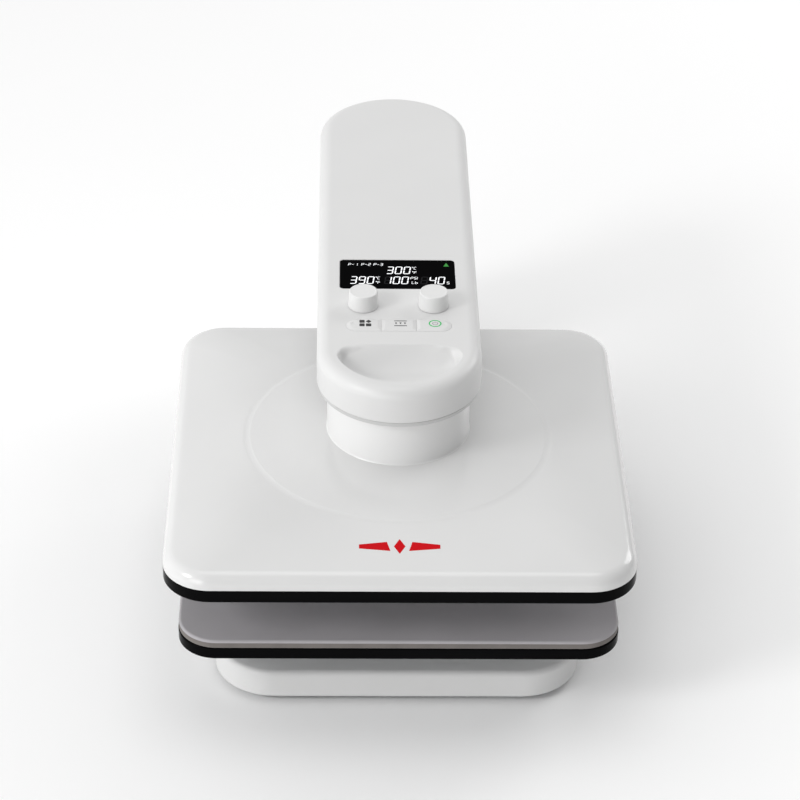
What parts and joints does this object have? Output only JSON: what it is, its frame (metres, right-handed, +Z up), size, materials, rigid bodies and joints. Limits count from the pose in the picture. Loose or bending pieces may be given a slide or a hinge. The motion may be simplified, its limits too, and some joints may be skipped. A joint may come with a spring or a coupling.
{
  "type": "swing-away heat press",
  "caption": "Square flat-bed heat press: white domed head on a swing-away arm over a padded lower platen, with digital display, knobs, keys and finger-grip pocket.",
  "frame": {"origin": "centre of the bounding box on the surface that the feet stand on", "axes": "+Z up, -Y towards the operator, the grip end of the arm and the front of the platens, +X to the operator's right"},
  "size_m": [0.41, 0.6938, 0.2896],
  "materials": {
    "gloss_white": "gloss white moulded ABS",
    "satin_white": "satin white moulded ABS",
    "gloss_black": "gloss black heat-resistant plastic",
    "display_glass": "smooth black acrylic window",
    "dark_plastic": "fine-textured dark plastic",
    "silicone": "matt grey silicone sponge",
    "rubber": "matt black rubber",
    "aluminium": "machined and bead-blasted",
    "steel": "brushed and zinc plated",
    "bronze": "sintered bronze",
    "board": "green solder mask with parts",
    "insulation": "compressed fibre board",
    "mica": "laminated mica heater",
    "cable": "sleeved wire loom"
  },
  "bodies": {
    "base": {"base_shell": "satin_white", "base_plate": "steel", "foot_front_left": "rubber", "foot_front_right": "rubber", "foot_rear_left": "rubber", "foot_rear_right": "rubber", "foot_column": "rubber", "platen_pedestal": "aluminium", "lower_rim": "gloss_black", "lower_platen": "aluminium", "silicone_pad": "silicone", "column_cover": "satin_white", "pivot_post": "steel", "thrust_washer": "bronze", "pivot_nut": "steel", "swing_stop": "steel", "power_inlet": "dark_plastic", "switch_bezel": "dark_plastic"},
    "rocker": {"power_rocker": "dark_plastic"},
    "arm": {"arm_upper_shell": "satin_white", "arm_lower_cover": "satin_white", "cover_screw_1": "steel", "cover_screw_2": "steel", "cover_screw_3": "steel", "cover_screw_4": "steel", "arm_frame": "steel", "pivot_hub": "aluminium", "upper_bush": "bronze", "lower_bush": "bronze", "neck_sleeve": "satin_white", "guide_bush": "bronze", "screw_bearing": "steel", "drive_belt": "rubber", "drive_gearbox": "aluminium", "drive_motor": "steel", "control_board": "board", "display_lens": "display_glass", "display_module": "dark_plastic", "encoder_left": "steel", "encoder_right": "steel", "power_board": "board", "arm_harness": "cable"},
    "left_knob": {"knob_left": "satin_white"},
    "right_knob": {"knob_right": "satin_white"},
    "mode_button": {"mode_key": "satin_white"},
    "pressure_button": {"pressure_key": "satin_white"},
    "power_button": {"power_key": "satin_white"},
    "screw": {"lead_screw": "steel", "screw_pulley": "aluminium"},
    "motor_shaft": {"motor_pulley": "aluminium"},
    "head": {"ram_tube": "steel", "lead_nut": "bronze", "dust_ring": "dark_plastic", "head_housing": "gloss_white", "head_rim": "gloss_black", "heating_platen": "aluminium", "heating_mat": "mica", "insulation_board": "insulation", "thermostat": "steel", "head_plate": "steel"}
  },
  "joints": [
    {"name": "arm_swing", "type": "hinge", "parent": "base", "child": "arm", "pos_m": [0, 0.2731, 0.2], "axis": [0, 0, 1], "range_deg": [0, 90]},
    {"name": "head_press", "type": "slide", "parent": "arm", "child": "head", "axis": [0, 0, -1], "range_m": [0, 0.049]},
    {"name": "screw_spin", "type": "hinge", "parent": "arm", "child": "screw", "pos_m": [0, -0.1419, 0.2], "axis": [0, 0, 1], "range_deg": [0, 1104.5]},
    {"name": "motor_spin", "type": "hinge", "parent": "arm", "child": "motor_shaft", "pos_m": [0, 0.0581, 0.252], "axis": [0, 0, 1], "range_deg": [0, 2207]},
    {"name": "left_knob_turn", "type": "hinge", "parent": "arm", "child": "left_knob", "pos_m": [-0.032, -0.0719, 0.28], "axis": [0, 0, 1], "continuous": true},
    {"name": "right_knob_turn", "type": "hinge", "parent": "arm", "child": "right_knob", "pos_m": [0.032, -0.0719, 0.28], "axis": [0, 0, 1], "continuous": true},
    {"name": "mode_press", "type": "slide", "parent": "arm", "child": "mode_button", "axis": [0, 0, -1], "range_m": [0, 0.0008], "stiffness_N_per_m": 600, "springref_m": -0.001},
    {"name": "pressure_press", "type": "slide", "parent": "arm", "child": "pressure_button", "axis": [0, 0, -1], "range_m": [0, 0.0008], "stiffness_N_per_m": 600, "springref_m": -0.001},
    {"name": "power_press", "type": "slide", "parent": "arm", "child": "power_button", "axis": [0, 0, -1], "range_m": [0, 0.0008], "stiffness_N_per_m": 600, "springref_m": -0.001},
    {"name": "rocker_tilt", "type": "hinge", "parent": "base", "child": "rocker", "pos_m": [0, 0.3361, 0.106], "axis": [1, 0, 0], "range_deg": [-20, 0]}
  ],
  "couplings": [
    {"joint": "screw_spin", "follows": "head_press", "rad_per_m": 392.7},
    {"joint": "motor_spin", "follows": "head_press", "rad_per_m": 785.4}
  ]
}
